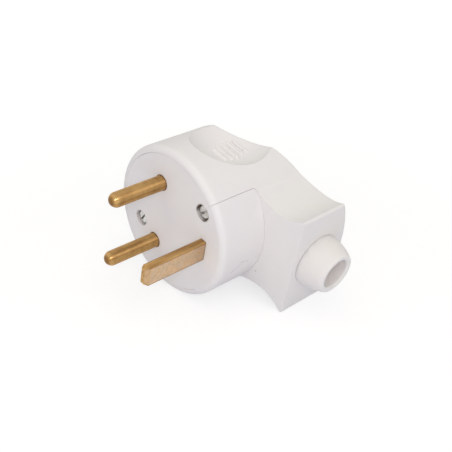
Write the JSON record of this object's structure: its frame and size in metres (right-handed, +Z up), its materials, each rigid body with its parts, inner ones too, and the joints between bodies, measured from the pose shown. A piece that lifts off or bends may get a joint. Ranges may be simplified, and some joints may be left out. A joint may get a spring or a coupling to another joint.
{
  "type": "electrical plug",
  "caption": "Right-angled heavy-duty mains plug with round pins, a longer flat earth pin and a soft cord sleeve on a flared side arm.",
  "frame": {"origin": "centre of the plug's box at the table it lies on", "axes": "+X along the arm towards the cord sleeve, -Y the way the pins point, +Z up from the table; the plug is tipped about Y as it rests on its round body and the arm's lower corner"},
  "size_m": [0.0894, 0.0786, 0.062],
  "materials": {
    "housing_plastic": "moulded, satin gloss, warm white",
    "base_plastic": "moulded, satin gloss, warm white",
    "pin_brass": "drawn brass, lightly scuffed",
    "screw_steel": "zinc plated",
    "sleeve_plastic": "soft moulded sleeve, matt, slightly warmer white"
  },
  "bodies": {
    "root": {"cover": "housing_plastic", "pin_base": "base_plastic", "pin_retainer": "base_plastic", "line_pin": "pin_brass", "neutral_pin": "pin_brass", "earth_pin": "pin_brass", "line_terminal_screw": "screw_steel", "neutral_terminal_screw": "screw_steel", "earth_terminal_screw": "screw_steel", "line_terminal_washer": "pin_brass", "neutral_terminal_washer": "pin_brass", "earth_terminal_washer": "pin_brass", "line_spring_washer": "screw_steel", "neutral_spring_washer": "screw_steel", "earth_spring_washer": "screw_steel", "retainer_screw_1": "screw_steel", "retainer_screw_2": "screw_steel", "housing_screw_1": "screw_steel", "housing_screw_2": "screw_steel", "housing_nut_1": "screw_steel", "housing_nut_2": "screw_steel", "cord_clamp_bar": "base_plastic", "cord_clamp_screw_1": "screw_steel", "cord_clamp_screw_2": "screw_steel", "cable_sleeve": "sleeve_plastic"}
  },
  "joints": []
}
